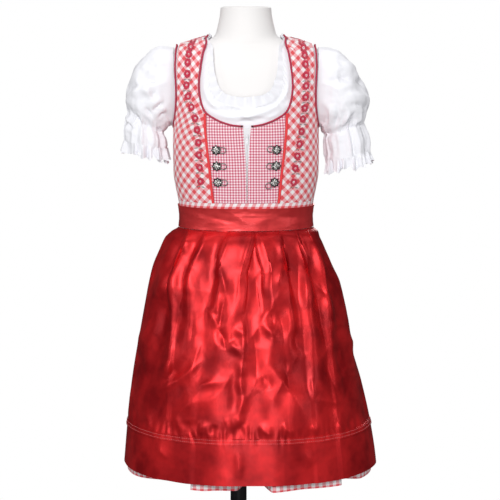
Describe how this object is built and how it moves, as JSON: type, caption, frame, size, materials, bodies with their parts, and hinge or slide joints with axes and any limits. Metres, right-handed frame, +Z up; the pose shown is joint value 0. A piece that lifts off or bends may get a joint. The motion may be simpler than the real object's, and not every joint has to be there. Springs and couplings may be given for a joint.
{
  "type": "dirndl on dress form",
  "caption": "Child's dirndl with gathered blouse, gingham dress and satin apron, worn by a limbless dress form on a round-based stand.",
  "frame": {"origin": "on the floor, under the middle of the whole outline", "axes": "+Z up; the front of the dress faces -Y; +X is to the right of someone who looks at the front"},
  "size_m": [0.4348, 0.3483, 1.129],
  "materials": {
    "form_shell": "smooth off-white shell",
    "stand_black": "black lacquer",
    "white_cotton": "fine crinkled white cotton",
    "gingham_red": "red and white gingham, 6.3 mm checks",
    "small_check_red": "red and white gingham, 2.5 mm checks",
    "piping_dark": "dark red satin cord",
    "piping_red": "bright red corded piping",
    "satin_red": "crinkled red satin",
    "antique_silver": "blackened silver-coloured metal",
    "zip_white": "woven white tape"
  },
  "bodies": {
    "dressed_form": {"stand_base": "stand_black", "stand_pole": "stand_black", "stand_flange": "stand_black", "form_torso": "form_shell", "blouse_front": "white_cotton", "blouse_back": "white_cotton", "blouse_neck_frill": "white_cotton", "blouse_sleeve_left": "white_cotton", "blouse_sleeve_right": "white_cotton", "blouse_cuff_frill_left": "white_cotton", "blouse_cuff_frill_right": "white_cotton", "bodice_centre_front_left": "small_check_red", "bodice_centre_front_right": "small_check_red", "bodice_side_front_left": "gingham_red", "bodice_side_front_right": "gingham_red", "bodice_side_back_left": "gingham_red", "bodice_side_back_right": "gingham_red", "bodice_centre_back": "gingham_red", "neck_piping": "piping_dark", "armhole_piping_left": "piping_dark", "armhole_piping_right": "piping_dark", "seam_piping_left": "piping_red", "seam_piping_right": "piping_red", "zip_tape_left": "zip_white", "zip_tape_right": "zip_white", "zip_slider": "antique_silver", "hook_left_1": "antique_silver", "hook_left_2": "antique_silver", "hook_left_3": "antique_silver", "hook_right_1": "antique_silver", "hook_right_2": "antique_silver", "hook_right_3": "antique_silver", "dress_waistband": "gingham_red", "skirt_front": "gingham_red", "skirt_back": "gingham_red", "apron_waistband": "satin_red", "apron_skirt": "satin_red", "apron_tuck": "satin_red", "apron_bow_knot": "satin_red", "apron_bow_loop_left": "satin_red", "apron_bow_loop_right": "satin_red", "apron_bow_end_left": "satin_red", "apron_bow_end_right": "satin_red"},
    "pull_tab": {"zip_pull": "antique_silver"}
  },
  "joints": [
    {"name": "pull_tab_swing", "type": "hinge", "parent": "dressed_form", "child": "pull_tab", "pos_m": [-0.00418, -0.08683, 0.91841], "axis": [-1, -0.0031, 0], "range_deg": [0, 170]}
  ]
}
